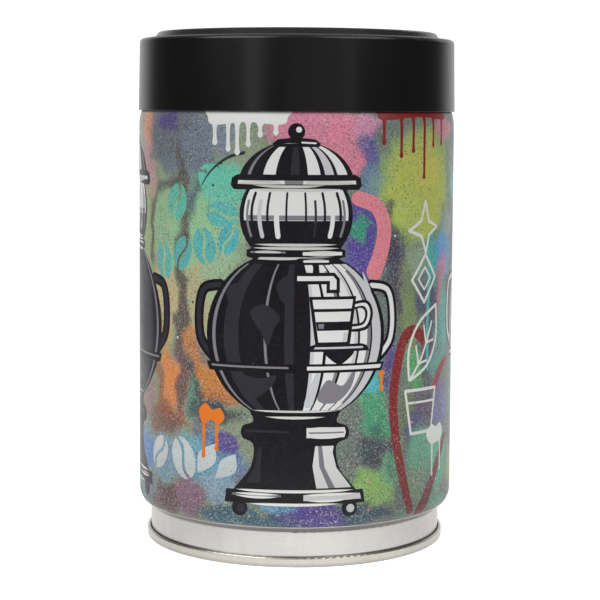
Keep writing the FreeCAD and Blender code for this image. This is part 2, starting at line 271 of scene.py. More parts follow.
# ---------------------------------------------------------------- printed artwork
BODY = 49.5  # radius over the print, mm
ROUND = 2 * math.pi * BODY
CUT = 128.0  # where the flat artwork is cut open; no shape crosses it
PRINT_LOW, PRINT_HIGH = 12.5, 137.4
LOW_TURN, LOW_ROUND = 16.0, 6.0
HIGH_TURN, HIGH_ROUND = 130.3, 12.0
FILM = 0.13  # thickness of the printed skin
BARE_FILM = (0.62, 0.62, 0.6, 1.0)  # colour of the film's inner side
START = CUT - ROUND  # the flat artwork runs from here to CUT
ACROSS = round(ROUND / 0.95)  # columns of the film's grid
RIGHT, LEFT, BACK, FRONT = (92, -1), (-75, -1), (-147, 1), (0, 1)  # each motif's middle, mm, and its side
RICHER = 1.15  # the clouds' colours, against the greying grain
COOLER = (1.0, 1.01, 1.1)  # the clouds' red, green and blue, against the warm light
BASE_COAT = (118, 128, 116)
DRIFT, SHIVER = 3.2, 0.9  # how far noise moves the clouds' edges, broadly and finely, mm
FRONT_REACH, SIDE_REACH = 62, 46  # how far from a motif's middle its clouds may reach, mm
CLOUD_EDGE, CLOUD_FADE, CLOUD_COVER = 1.22, 0.5, 0.92  # a cloud's end and soft rim, in half sizes; its cover
# Painted shade: the print's colours are darkened towards the bottom, as if less light fell there.
SHADE_TOP, SHADE_TALL, SHADE = 66, 50, 0.5  # the print darkens by SHADE, from SHADE_TOP down, mm

WHITE, LIGHT, GREY, INK = (222, 223, 221), (196, 197, 200), (128, 125, 134), (19, 16, 22)
SMOKE = (46, 43, 52)
RED, ORANGE, TEAL, PINK = (134, 36, 38), (232, 124, 38), (96, 190, 178), (226, 134, 146)


def linear(colour):
    """A 0 to 255 screen colour as linear light."""
    return [((c / 255 + 0.055) / 1.055) ** 2.4 if c > 10 else c / 255 / 12.92 for c in colour]


def curve(points, closed=True, step=0.7):
    """A smooth line through points. A point given twice running is a sharp corner."""
    count = len(points)

    def point(i):
        return Vector(points[i % count if closed else min(max(i, 0), count - 1)])

    made = []
    for i in range(count if closed else count - 1):
        a, b, c, d = (point(i + k) for k in (-1, 0, 1, 2))
        parts = max(1, round((c - b).length / step))
        for k in range(parts):
            t = k / parts
            square = 2 * a - 5 * b + 4 * c - d
            cube = 3 * b - a - 3 * c + d
            made.append(0.5 * (2 * b + (c - a) * t + square * t**2 + cube * t**3))
    if not closed:
        made.append(Vector(points[-1]))
    return made


class Artwork:
    """Closed flat shapes, the last on top, in mm: s round the can from the front, and height z."""

    def __init__(self):
        self.shapes = []
        self.centre, self.side = 0.0, 1

    def at(self, centre, side=1):
        """The shapes that follow are drawn about this place, mirrored where side is -1."""
        self.centre, self.side = centre, side

    def shape(self, outline, colour, grain=0.05):
        clean = []
        for x, z in outline:
            s = self.centre + self.side * x
            s = (s - CUT) % ROUND + CUT - ROUND
            z = min(max(z, PRINT_LOW + 0.3), PRINT_HIGH - 0.3)
            if not clean or (Vector((s, z)) - clean[-1]).length > 0.05:
                clean.append(Vector((s, z)))
        if (clean[0] - clean[-1]).length < 0.05:
            clean.pop()
        self.shapes.append((clean, colour, grain))

    def fill(self, points, colour, grain=0.05):
        self.shape(curve(points), colour, grain)

    def poly(self, points, colour, grain=0.05):
        self.shape([Vector(p) for p in points], colour, grain)

    def disc(self, x, z, radius, colour, tall=1.0, grain=0.05, sides=None):
        sides = sides or max(8, round(radius * 7))
        turns = [2 * math.pi * k / sides for k in range(sides)]
        rim = [Vector((x + radius * math.cos(a), z + radius * tall * math.sin(a))) for a in turns]
        self.shape(rim, colour, grain)

    def stroke(self, points, width, colour, ends=None, grain=0.05, step=0.7):
        """A line of that width; ends, if given, is its width at the first and last point."""
        line = curve(points, closed=False, step=step)
        widths = [width] * len(line)
        if ends:
            widths = [ends[0] + (ends[1] - ends[0]) * k / (len(line) - 1) for k in range(len(line))]
        left, right = [], []
        for k, here in enumerate(line):
            way = (line[min(k + 1, len(line) - 1)] - line[max(k - 1, 0)]).normalized()
            side = Vector((-way.y, way.x)) * (widths[k] / 2)
            left.append(here + side)
            right.append(here - side)
        caps = []
        for tip, edge, wide in ((line[-1], left[-1], widths[-1]), (line[0], right[0], widths[0])):
            edge = edge - tip
            parts = max(3, round(wide / 2 * 4))
            caps.append([tip + Matrix.Rotation(-math.pi * k / parts, 2) @ edge for k in range(1, parts)])
        self.shape(left + caps[0] + right[::-1] + caps[1], colour, grain)

    def drip(self, x, top, bottom, width, colour):
        """A run of paint that thins, then ends in a bead."""
        w = width / 2
        bead = w * 1.15
        right = [
            (w * 1.7, top + 0.8), (w * 0.9, top - 0.8), (w * 0.75, bottom + 3 * w), (bead, bottom + bead)
        ]
        points = [(x + a, z) for a, z in right] + [(x, bottom)] + [(x - a, z) for a, z in reversed(right)]
        self.shape(curve(points, step=0.45), colour)


art = Artwork()


def both(half, colour):
    """A shape with two equal sides, from its right side, from the bottom up."""
    art.poly([(x, z) for x, z in half] + [(-x, z) for x, z in reversed(half)], colour)


def round_side(low, high, wide, middle, tall, steps=24):
    """The right side of a round body between two heights."""
    heights = [low + (high - low) * k / steps for k in range(steps + 1)]
    return [(wide * math.sqrt(max(0, 1 - ((z - middle) / tall) ** 2)), z) for z in heights]


def flute(side_line, inner, outer, colour, skip):
    """A band of a round body between two shares of its half width."""
    part = side_line[skip : len(side_line) - skip]
    art.poly([(x * outer, z) for x, z in part] + [(x * inner, z) for x, z in reversed(part)], colour)


def urn_handles():
    """One handle at each side, dark on the left and white on the right."""
    for way, colour in ((-1, SMOKE), (1, WHITE)):
        handle = [(way * x, z) for x, z in ((23, 84), (28.6, 82.4), (30.4, 75.5), (29.6, 67.6), (25, 62.4))]
        art.stroke(handle, 3.4, INK)
        art.stroke(handle, 1.5, colour)


def urn_foot():
    """Ball feet, a plate and a waisted stem."""
    for x in (-16.5, 16.5):
        art.disc(x, 18.2, 2.5, INK)
        art.disc(x + 0.3, 18.1, 1.3, WHITE if x > 0 else SMOKE)
    stem = [
        (19.5, 22.4), (16.8, 25.6), (13.4, 30), (12.2, 35), (12.8, 37.8), (15.6, 39), (16.2, 41),
        (15.4, 42.8), (12.4, 44.2), (13.6, 47.4)
    ]
    both(curve(stem, closed=False), INK)
    art.poly([(-21.4, 19.6), (21.4, 19.6), (20.8, 23.6), (-20.8, 23.6)], INK)
    art.poly([(2.6, 20.7), (20.2, 20.7), (19.8, 22.5), (2.6, 22.5)], WHITE)
    art.poly([(-19, 21.8), (-4, 21.8), (-4, 22.5), (-18.8, 22.5)], GREY)
    art.poly([(6.4, 24.4), (17, 24.4), (12.4, 30.4), (11.2, 35), (11.5, 37), (6, 37), (5.2, 31)], WHITE)
    art.poly([(10, 24.4), (12, 24.4), (8.8, 30.6), (8, 37), (6.8, 37), (7.2, 31)], GREY)
    art.poly([(3.4, 39.4), (14.8, 39.4), (15.2, 41), (14.8, 42.4), (3.4, 42.4)], WHITE)
    art.stroke([(4.2, 40.9), (14.4, 40.9)], 0.5, GREY)
    art.fill([(-14.2, 26.2), (-12, 30.4), (-10.8, 36.4), (-9.8, 36.4), (-10.2, 30), (-10.4, 26.2)], SMOKE)
    art.stroke([(-14.4, 41.2), (-2, 41.2)], 0.7, SMOKE)


def urn_belly():
    """A round belly in flutes, black on the left and pale on the right."""
    belly = round_side(45.6, 92.4, 27.6, 69.4, 25.4)
    both(belly, INK)
    for inner, outer, colour in (
        (-0.93, -0.89, GREY), (-0.79, -0.62, SMOKE), (-0.34, -0.31, GREY), (-0.12, -0.02, SMOKE),
        (0.16, 0.3, WHITE), (0.335, 0.5, WHITE), (0.53, 0.68, WHITE),
        (0.705, 0.83, WHITE), (0.85, 0.955, LIGHT),
    ):
        flute(belly, inner, outer, colour, 1)
    for inner, outer, colour in (
        (0.16, 0.2, LIGHT), (0.46, 0.5, GREY), (0.64, 0.68, LIGHT), (0.79, 0.83, GREY)
    ):
        flute(belly, inner, outer, colour, 2)


def urn_wear():
    """Cloudy patches on the belly, as a worn stencil leaves them."""
    for points in (
        [(-21, 82), (-17.6, 84.6), (-16, 80), (-18.8, 77.6)],
        [(-13.4, 76), (-9.2, 78.6), (-4.6, 75), (-6.4, 71.4), (-8.2, 66.4), (-10, 70.2)],
        [(-16.6, 57.4), (-10.4, 56.8), (-5.6, 57.8), (-7.8, 53.6), (-12.8, 51.2)],
        [(-5.6, 84), (-2.4, 87), (-0.6, 82), (-3.4, 79)],
    ):
        art.fill(points, SMOKE)
    art.fill([(6.6, 50.6), (9.4, 56.4), (14.2, 54.8), (18.2, 60.4), (16.6, 54), (12, 49.8)], GREY)
    art.fill([(2.6, 49.4), (5.6, 57.6), (7.6, 60.6), (6, 52), (4.6, 48.6)], LIGHT)
    art.fill([(20, 88), (22, 80), (23.6, 77.6), (22.6, 83)], LIGHT)


def urn_tap_and_cup():
    """A belt round the belly, a tray on its bracket, and a cup under the tap."""
    art.poly([(-27.6, 61.2), (-26.6, 58.6), (26.6, 58.6), (27.6, 61.2)], INK)
    art.poly([(3.4, 60.5), (26.6, 60.5), (26.1, 59.4), (3.4, 59.4)], WHITE)
    art.poly([(-26, 60.4), (-2, 60.4), (-2, 59.8), (-25.8, 59.8)], GREY)
    art.poly([(3.4, 64.8), (22.6, 64.8), (21.6, 66.4), (20, 67), (5.6, 67), (4, 66.4)], INK)
    art.fill([(8.6, 65), (17.4, 65), (14.2, 61.4), (11.8, 61.4)], INK)
    art.poly([(5.4, 65.6), (20.6, 65.6), (20.2, 66.2), (5.8, 66.2)], LIGHT)
    art.fill(
        [
            (16.4, 79), (21.6, 79.6), (23.6, 75.8), (21.8, 71.2), (16, 70.6), (16, 72.6), (20, 73.2),
            (21, 75.8), (19.8, 77.4), (16.4, 77)
        ],
        INK
    )
    art.fill(
        [
            (16.6, 78.3), (21.2, 78.8), (22.7, 75.8), (21.2, 72), (16, 71.3), (16, 71.9), (20.5, 72.6),
            (21.8, 75.8), (20.4, 78), (16.6, 77.6)
        ],
        WHITE
    )
    art.poly([(3.9, 81), (18.1, 81), (16.2, 66.6), (5.8, 66.6)], INK)
    art.poly([(4.9, 80.1), (17.1, 80.1), (16.7, 77.4), (5.3, 77.4)], WHITE)
    art.poly([(5.5, 76.5), (16.5, 76.5), (15.3, 67.6), (6.7, 67.6)], WHITE)
    art.poly([(5.9, 73.6), (16.1, 73.6), (15.8, 71), (6.3, 71)], INK)
    art.poly([(6.6, 73), (8.4, 73), (8.2, 71.6), (6.8, 71.6)], GREY)
    art.poly([(14, 67.6), (15.3, 67.6), (15.7, 70.4), (14.3, 70.4)], LIGHT)
    art.poly([(-0.6, 84.6), (9, 84.6), (9, 82), (13, 82), (13, 86.2), (11.4, 88), (-0.6, 88)], INK)
    art.poly([(0.4, 85.6), (10, 85.6), (10, 83), (12, 83), (12, 85.8), (11, 87), (0.4, 87)], WHITE)
    art.poly([(4.9, 88), (6.9, 88), (6.7, 90.4), (5.1, 90.4)], INK)
    art.stroke([(2, 91.2), (9.8, 91.2)], 1.9, INK)
    art.stroke([(2.4, 91.3), (9.4, 91.3)], 0.7, WHITE)


def urn_chamber():
    """Neck rings, and a glass chamber with its metal ribs, part full."""
    both([(12.4, 91.8), (14.6, 92.6), (14.6, 94.4), (12.6, 95.2)], INK)
    art.poly([(2, 93), (13.6, 93), (13.6, 94), (2, 94)], WHITE)
    art.poly([(-13.4, 93.6), (-3, 93.6), (-3, 94.1), (-13.4, 94.1)], GREY)
    glass = round_side(95, 113.4, 16.8, 104.6, 15.4, 16)
    both(glass, INK)
    both([(x * 0.92, z) for x, z in glass[1:-1]], WHITE)
    low = [(x * 0.92, z) for x, z in glass if 95.4 < z < 103.6]
    both(low, INK)
    art.poly([(-14.6, 103.2), (14.6, 103.2), (14.2, 104.6), (-14.2, 104.6)], GREY)
    for share, width, colour in (
        (-0.78, 0.8, INK), (-0.5, 0.7, INK), (-0.17, 0.6, INK), (0.17, 0.6, INK), (0.5, 0.7, INK),
        (0.78, 0.8, INK)
    ):
        art.stroke([(x * share, z) for x, z in glass[2:-1:3]], width, colour)
    for share, width, colour in (
        (-0.86, 0.7, GREY), (-0.64, 1.2, LIGHT), (-0.34, 1.5, WHITE), (0.34, 0.7, SMOKE),
        (0.64, 1.3, WHITE), (0.85, 0.7, GREY)
    ):
        art.stroke([(x * share, z) for x, z in glass[3:-2:3]], width, colour)


def urn_lid():
    """A domed lid in flutes, with its brim and ball."""
    dome = round_side(114, 125.4, 17.4, 112.6, 13.6, 16)
    both(dome, INK)
    for inner, outer, colour in (
        (-0.86, -0.8, GREY), (-0.58, -0.36, WHITE), (-0.1, 0.06, SMOKE), (0.2, 0.42, WHITE),
        (0.5, 0.66, LIGHT), (0.72, 0.9, WHITE)
    ):
        flute(dome, inner, outer, colour, 1)
    both([(18.6, 112), (19.6, 113.2), (19.2, 115.4), (17.4, 116.4)], INK)
    art.poly([(-17.4, 113.6), (17.8, 113.6), (17.6, 114.7), (-17.2, 114.7)], WHITE)
    art.poly([(-3.4, 113.6), (2, 113.6), (2, 114.7), (-3.4, 114.7)], GREY)
    both([(6.6, 124.4), (7, 125.4), (5.4, 126.6), (2.2, 127)], INK)
    art.disc(0, 128.8, 2.5, INK)
    art.disc(0.7, 129.4, 0.9, WHITE)
    art.stroke([(1.6, 125.7), (5.6, 125.5)], 0.5, WHITE)


def coffee_urn(centre, side):
    """The stencil motif: a footed coffee urn with a fluted belly, a glass chamber, a lid, a tap and a cup."""
    art.at(centre, side)
    urn_handles()
    urn_foot()
    urn_belly()
    urn_wear()
    urn_tap_and_cup()
    urn_chamber()
    urn_lid()


def coffee_bean(x, z, size, lean, colour, grain):
    """A stencilled bean: two halves with a wavy gap between them."""
    turn = Matrix.Rotation(math.radians(lean), 2)
    for way in (-1, 1):
        seam = [(0.16 * size * math.sin(math.pi * k / 4), size * (1 - k / 4) * 0.98) for k in range(9)]
        angles = [math.radians(-78 + 13 * k) for k in range(13)]
        rim = [(math.cos(a) * 0.72 * size * way, math.sin(a) * size) for a in angles]
        half = [(sx + way * 0.09 * size, sz) for sx, sz in seam] + rim
        art.shape([Vector((x, z)) + turn @ Vector(p) for p in half], colour, grain)


def loop(points, width, colour):
    """The outline of a many-sided shape as a painted line."""
    for one, two in zip(points, points[1:] + points[:1]):
        art.stroke([one, two], width, colour, step=3)


def paint_runs(colour, left, right, level, runs):
    """A band of paint under the lid, from left to right, with drips at (place, lowest point, width)."""
    middle = (left + right) / 2
    edge = [
        (left, 136.5), (left, level + 2), (left + 2, level - 0.4), (middle, level + 0.5),
        (right - 2, level - 0.2), (right, level + 2), (right, 136.5)
    ]
    art.fill(edge, colour)
    for x, bottom, width in runs:
        art.drip(x, level, bottom, width, colour)


def streets():
    """The free shapes round the front motif: beans, leaves, sweeps, outlines and drips. None is a letter."""
    art.at(0)
    for x, z, size, lean, colour in (
        (-39.4, 107.6, 5.6, -10, (98, 190, 168)), (-25, 114.4, 6.2, 62, (104, 198, 172)),
        (-22.4, 104.6, 5.4, 84, (88, 188, 180)),
        (-46, 89.6, 5.6, 12, (96, 188, 178)), (-37.2, 92.4, 5.2, -22, (90, 180, 176)),
        (-28.6, 95, 5.6, 16, (88, 182, 180)), (-20.4, 97.2, 4.6, -20, (82, 178, 184)),
    ):
        coffee_bean(x, z, size, lean, colour, 0.9)
    art.stroke([(-29.5, 113), (-26, 117.4), (-20.5, 121.2), (-15.5, 122.6)], 0.7, (44, 52, 52), (0.3, 1.1))
    art.stroke([(-31.5, 76.5), (-29, 80), (-25.8, 84.2)], 0.35, (206, 206, 140))
    # Pale stencil marks, low on the left: two beans and two leaves.
    pale = (214, 222, 222)
    coffee_bean(-48.6, 31, 5.6, -32, pale, 0.6)
    coffee_bean(-36.8, 30.8, 6.6, 24, pale, 0.6)
    art.fill([(-31, 27), (-31, 27), (-30.4, 33.4), (-24.6, 36.6), (-24.6, 36.6), (-24.8, 30.6)], pale, 0.6)
    art.fill(
        [(-24.6, 26), (-24.6, 26), (-22.6, 31.6), (-17.8, 34), (-17.8, 34), (-18, 28.4)], (206, 216, 218),
        0.6
    )
    # The orange runs.
    art.fill(
        [
            (-30.4, 46), (-28, 48.4), (-25.6, 46.6), (-23, 47.2), (-21.4, 44.6), (-23.4, 42.4), (-26, 43.6),
            (-29, 42.2)
        ],
        ORANGE
    )
    art.drip(-28.7, 43.4, 31.8, 1.5, ORANGE)
    art.drip(-24.1, 43.6, 34.2, 1.3, ORANGE)
    art.drip(26.8, 57.5, 52.2, 1.3, ORANGE)
    # Right side: pink bend, red sweeps, a thin blue-green run.
    art.stroke([(18.6, 109.5), (24.5, 107), (27.2, 101.5), (26.6, 95), (24, 88)], 5, PINK, (4.4, 5.4), 0.55)
    art.stroke(
        [(44, 66.6), (39.5, 69.4), (35.4, 67.4), (32.8, 60), (31.2, 49), (32.4, 37), (35, 26), (38.6, 15)],
        3.3, RED, (3.6, 3.0), 0.5
    )
    art.stroke([(60, 58.5), (55.6, 56.6), (51, 51.2)], 2.6, (150, 52, 56), (2.2, 3.4), 0.6)
    art.stroke(
        [(59.5, 34.5), (55, 29), (50.6, 23), (45.8, 16.5), (43.4, 13.6)], 3.2, (126, 40, 44), (2.6, 4.4),
        0.6
    )
    art.stroke([(46.4, 93), (46.8, 82), (46.2, 70), (46.6, 57)], 1.5, (86, 178, 170), (1.9, 1.2), 0.5)
    # A column of outlined shapes: a star, a double diamond, a veined leaf and a cup, then a blot that runs.
    line = (218, 220, 216)
    loop(
        [
            (44.6, 108), (46.4, 102), (51.4, 100.2), (46.6, 97.8), (45, 92.4), (42.8, 97.6), (37, 99.4),
            (42.4, 102.2)
        ],
        0.95, line
    )
    loop([(44.8, 92), (50.6, 85), (44.4, 77.6), (38.4, 84.6)], 0.95, line)
    loop([(44.6, 88.2), (47.6, 84.9), (44.4, 81.4), (41.4, 84.7)], 0.7, line)
    leaf = curve([
        (51.4, 76.4), (51.4, 76.4), (51.6, 66.4), (46.6, 58.6), (37.6, 54.4), (37.6, 54.4), (37.4, 64),
        (42.4, 72)
    ])
    art.stroke(leaf[:1] + leaf[2::3] + leaf[:1], 0.95, line, step=3)
    art.stroke([(37.8, 54.6), (43.6, 61.4), (48.8, 71.4)], 0.8, line)
    for x, z in ((41.8, 59.2), (45.6, 65.2)):
        art.stroke([(x, z), (x - 1.2, z + 5.4)], 0.7, line)
        art.stroke([(x, z), (x + 4.2, z + 0.6)], 0.7, line)
    loop([(36, 51.4), (51.4, 51), (49, 38), (38.6, 38.2)], 0.95, line)
    art.stroke([(37.6, 47.6), (50.4, 47.2)], 0.7, line)
    blot = (224, 228, 224)
    art.fill(
        [
            (46.4, 37.4), (49.6, 39.6), (52.4, 38.6), (55.6, 39.4), (57.6, 36.8), (56.2, 34.4),
            (52.6, 33.6), (48.6, 34)
        ],
        blot
    )
    art.drip(50, 35, 23.6, 1.2, blot)
    art.drip(55.6, 35, 24.4, 1.2, blot)
    # Runs of paint from under the lid.
    paint_runs(
        WHITE, -27.5, -2.5, 131,
        [
            (-24.9, 124.6, 1.6), (-20.5, 122.8, 1.5), (-17.6, 121.8, 1.6), (-14.2, 124.2, 1.4),
            (-10.6, 127, 1.4), (-6, 127.6, 1.4)
        ]
    )
    paint_runs(
        RED, 24.5, 57.5, 132.6,
        [
            (26.9, 124.8, 1.3), (33.4, 121, 1.4), (38.4, 122.4, 1.4), (43.6, 114.6, 1.5), (48.5, 124, 1.3),
            (53.8, 124.4, 1.4)
        ]
    )


def back_streets():
    """Marks between the motifs at the sides and the back, which the photo does not show."""
    art.at(0)
    for x, z, size, lean, colour in (
        (-111, 33, 6, 20, (214, 222, 222)), (-119, 44, 4.6, -30, ORANGE),
        (-104, 50, 4.2, 60, TEAL), (-100, 24, 4.4, 80, PINK),
        (-111, 112, 5.6, -12, TEAL), (-102, 119, 4.6, 40, (214, 222, 222)),
        (-120, 121, 4.8, 66, PINK), (-111, 96, 4, 0, ORANGE),
        (68, 112, 4.6, 30, TEAL), (117, 114, 4.8, -24, ORANGE), (117, 34, 5.4, 24, (214, 222, 222)),
        (-175, 118, 4.6, 30, TEAL), (-175, 36, 5, -20, PINK),
    ):
        coffee_bean(x, z, size, lean, colour, 0.8)
    for colour, middle in ((WHITE, -112), (TEAL, 118), (PINK, -172), (ORANGE, 82)):
        paint_runs(
            colour, middle - 8, middle + 8, 131.6,
            [(middle - 5.6, 125, 1.4), (middle - 1, 121, 1.5), (middle + 4.4, 126, 1.3)]
        )


def spatter(count, seed):
    """Small round dots of paint."""
    chance = random.Random(seed)
    art.at(0)
    tints = [
        (226, 150, 160), (214, 218, 214), (96, 176, 176), (48, 50, 58), (196, 190, 120), (108, 88, 150)
    ]
    for _ in range(count):
        s, z = chance.uniform(CUT - ROUND + 2, CUT - 2), chance.uniform(14, 131)
        radius = chance.choice((0.16, 0.2, 0.26, 0.4))
        art.disc(s, z, radius, chance.choice(tints), sides=7)


# Soft clouds of spray, each (s, z, half width, half height, colour); a later one lies over an earlier one.
CLOUDS = [
    (-30, 75, 46, 70, (142, 154, 124)), (30, 75, 46, 70, (112, 122, 112)),
    (-61, 128, 8, 9, (222, 150, 116)), (-57, 114, 6, 12, (196, 150, 150)),
    (-64, 118, 5, 20, (150, 160, 150)),
    (-40, 128, 15, 12, (104, 108, 116)), (-44, 132, 5, 4, (88, 76, 122)), (-30, 126, 6, 7, (116, 126, 134)),
    (-35, 119, 12, 3.5, (114, 124, 130)), (-22, 128, 5, 6, (126, 134, 144)),
    (-56, 100, 6, 12, (160, 178, 126)), (-44, 100, 9, 13, (156, 190, 146)),
    (-30, 98, 14, 14, (154, 198, 150)),
    (-23, 113, 9, 8, (112, 196, 164)), (-34, 112, 3, 6, (120, 150, 136)),
    (-38, 96, 2.6, 9, (110, 124, 104)),
    (-53.5, 99, 1.6, 10, (118, 112, 84)), (-46, 79, 7, 14, (200, 184, 138)),
    (-30, 78, 7, 14, (184, 176, 134)),
    (-24, 85, 5, 8, (160, 184, 146)), (-37.5, 73, 2.6, 17, (104, 94, 84)), (-33, 62, 8, 7, (128, 112, 108)),
    (-47, 64, 4, 7, (186, 158, 104)), (-43.5, 53, 5, 10, (222, 140, 82)), (-37.5, 51, 2, 14, (166, 88, 76)),
    (-48, 42, 8, 6, (132, 88, 66)), (-32.5, 52, 2.6, 9, (92, 140, 118)),
    (-25, 57, 8, 4.4, (196, 138, 78)), (-25, 51.5, 7, 2, (150, 92, 64)), (-26, 46, 8, 3.6, (62, 76, 78)),
    (-57, 47, 5, 7, (150, 120, 112)), (-45, 30, 12, 7, (134, 166, 182)),
    (-41, 40.6, 5, 3.4, (112, 80, 68)), (-28, 31, 12, 8, (120, 174, 188)),
    (-58, 31, 5, 6, (96, 142, 198)), (-20.5, 37, 4, 4, (94, 74, 138)), (-23, 23, 8, 4, (150, 176, 190)),
    (-45, 17, 7, 5, (114, 72, 78)), (-35, 19, 5, 7, (150, 112, 134)), (-58, 19, 6, 5, (134, 140, 150)),
    (-20, 15, 11, 3.4, (70, 108, 126)), (0, 15, 12, 3, (60, 96, 116)), (20, 15, 11, 3, (62, 86, 100)),
    (1, 26, 9, 12, (98, 74, 152)), (4, 33, 5, 2.4, (118, 140, 190)), (-5, 20, 5, 3, (118, 176, 208)),
    (-3, 18.6, 3.4, 2, (100, 156, 186)), (8, 15.6, 5.4, 2.8, (96, 72, 150)), (2, 23, 3, 2, (124, 160, 206)),
    (4, 131, 12, 8, (214, 136, 156)), (15, 125, 7, 10, (222, 140, 156)), (22, 124, 4, 9, (98, 96, 146)),
    (20, 131, 5, 4, (208, 150, 170)), (23, 113, 4, 6, (110, 136, 156)), (20, 100, 6, 9, (84, 70, 144)),
    (18, 100, 2.6, 4, (66, 150, 116)), (20, 90, 6, 6, (92, 76, 148)), (31, 95, 5, 10, (72, 66, 88)),
    (31, 82, 5, 5, (84, 82, 96)), (35, 77, 5, 13, (112, 116, 102)), (38, 71, 4, 12, (124, 142, 92)),
    (30, 112, 4, 7, (140, 160, 110)), (42.5, 112.5, 18, 17.6, (158, 188, 112)),
    (42.5, 113, 15.4, 15, (186, 192, 98)),
    (46, 118, 7, 6, (196, 196, 104)), (37, 106, 6, 5, (182, 196, 104)),
    (60, 119, 4, 13, (120, 140, 120)), (57, 130, 6, 4, (208, 140, 150)), (58, 100, 6, 6, (150, 168, 150)),
    (57, 92, 7, 7, (104, 162, 202)), (48, 90, 3, 8, (86, 174, 168)), (40, 92, 5, 6, (146, 166, 138)),
    (55, 83, 3.6, 9, (200, 134, 152)), (58, 72, 4, 12, (108, 176, 160)), (46, 74, 6, 9, (82, 84, 102)),
    (41, 57, 5, 6, (92, 166, 98)), (46, 66, 4, 5, (96, 78, 84)),
    (53, 62, 4, 8, (110, 156, 142)), (46, 57, 3.4, 6, (86, 92, 94)),
    (24, 52, 5, 9, (86, 160, 116)), (22, 58, 3, 6, (104, 190, 194)), (25, 44, 6, 6, (80, 156, 112)),
    (29, 60, 3, 8, (88, 78, 128)), (26, 70, 5, 4, (96, 108, 104)), (37, 44, 4, 10, (112, 122, 92)),
    (46, 47, 5, 6, (92, 86, 98)), (41, 40, 4, 5, (84, 86, 118)),
    (56, 45, 6, 8, (116, 116, 150)), (25, 34, 8, 4, (66, 74, 80)),
    (24, 24, 8, 5.4, (150, 192, 104)), (30, 28, 4, 5, (118, 176, 128)), (44, 32, 6, 8, (110, 168, 134)),
    (54, 28, 7, 10, (108, 184, 146)), (41, 22, 4, 5, (128, 150, 120)), (52, 15, 9, 3, (110, 170, 140)),
]


# Soft sprayed lines over the clouds: points, half width, colour, how dense.
SPRAYS = [
    ([(-38, 122), (-36.6, 104), (-37.6, 88), (-37, 72), (-36.6, 60), (-37.4, 48)], 1.9, (92, 82, 72), 0.8),
    (
        [(-53.4, 90), (-53, 101), (-51, 109.4), (-45, 111.6), (-39.6, 114.4), (-36, 119)], 1.0,
        (82, 80, 78), 0.75
    ),
    ([(-35.4, 98), (-34, 108), (-30, 117), (-25, 120.6)], 0.9, (70, 78, 84), 0.6),
    ([(-51.6, 66), (-50, 54), (-46.6, 45), (-41, 41.4), (-37.4, 42)], 1.8, (150, 84, 58), 0.7),
    ([(-33.6, 68), (-31, 59), (-25.4, 53.6), (-18, 53)], 2.0, (196, 128, 70), 0.8),
    ([(-34, 60), (-31.6, 51.6), (-26, 48), (-17, 47.4)], 1.4, (66, 70, 68), 0.75),
    ([(-30, 41), (-22, 35), (-15, 28)], 2.4, (92, 78, 140), 0.5),
    ([(29.6, 108), (30.8, 96), (31.6, 84), (33.6, 76)], 1.5, (62, 58, 76), 0.7),
    ([(33, 99), (42, 95.6), (51, 98), (56, 106)], 1.3, (96, 106, 92), 0.3),
    ([(36, 90), (36.6, 78), (41, 72)], 1.6, (126, 148, 96), 0.6),
    ([(40, 49), (47, 44), (50.6, 36)], 1.6, (98, 82, 108), 0.5),
    ([(24, 42), (30, 36), (31, 26)], 1.5, (60, 70, 80), 0.5),
]


def spray_share(s, z, points, half):
    """How much of a sprayed line covers each place, from 0 to 1."""
    nearest = np.full(len(s), 1e9)
    for (ax, az), (bx, bz) in zip(points, points[1:]):
        dx, dz = bx - ax, bz - az
        t = np.clip(((s - ax) * dx + (z - az) * dz) / (dx * dx + dz * dz), 0, 1)
        nearest = np.minimum(nearest, np.hypot(s - ax - t * dx, z - az - t * dz))
    share = np.clip((half * 1.7 - nearest) / (half * 1.2), 0, 1)
    return share * share * (3 - 2 * share)


def swirl(places, busy, up, shift=0):
    """Smooth noise on the can at each (s, z). busy and up are how fast it changes round it and upwards."""
    turns = [(s / BODY, z) for s, z in places]
    spots = [(math.cos(turn) * busy + shift, math.sin(turn) * busy, z * up) for turn, z in turns]
    return np.array([noise.noise(Vector(spot)) for spot in spots])


def cloud_colours(places):
    """The sprayed background's linear colour at each (s, z)."""
    s, z = places[:, 0], places[:, 1]
    fine = swirl(places, 40, 0.8)
    s = s + DRIFT * swirl(places, 9, 0.17) + SHIVER * fine
    z = z + DRIFT * swirl(places, 9, 0.17, 31) + SHIVER * fine
    colour = np.tile(linear(BASE_COAT), (len(places), 1))
    for centre, side in (RIGHT, LEFT, BACK, FRONT):
        reach = FRONT_REACH if centre == 0 else SIDE_REACH
        for x, height, wide, tall, tint in CLOUDS:
            if abs(x) - wide > reach:
                continue
            away = ((s - centre - side * x) + ROUND / 2) % ROUND - ROUND / 2
            near = np.hypot(away / wide, (z - height) / tall)
            share = np.clip((CLOUD_EDGE - near) / CLOUD_FADE, 0, 1)
            share = share * share * (3 - 2 * share) * CLOUD_COVER
            colour += (np.array(linear(tint)) - colour) * share[:, None]
        for points, half, tint, dense in SPRAYS:
            away = (side * (s - centre) + ROUND / 2) % ROUND - ROUND / 2
            share = spray_share(away, z, points, half) * dense
            colour += (np.array(linear(tint)) - colour) * share[:, None]
    grey = colour.mean(1, keepdims=True)
    return np.clip((grey + (colour - grey) * RICHER) * np.array(COOLER), 0.005, 0.9)


def past_turns(z):
    """How far each height lies past the lower turn and past the upper one, or 0."""
    return np.clip(LOW_TURN - z, 0, None), np.clip(z - HIGH_TURN, 0, None)


def radius_at(z):
    """The print's radius at height z, over both shoulders."""
    low, high = past_turns(z)
    low_drop = LOW_ROUND - np.sqrt(LOW_ROUND**2 - low**2)
    high_drop = HIGH_ROUND - np.sqrt(HIGH_ROUND**2 - high**2)
    return BODY - low_drop - high_drop


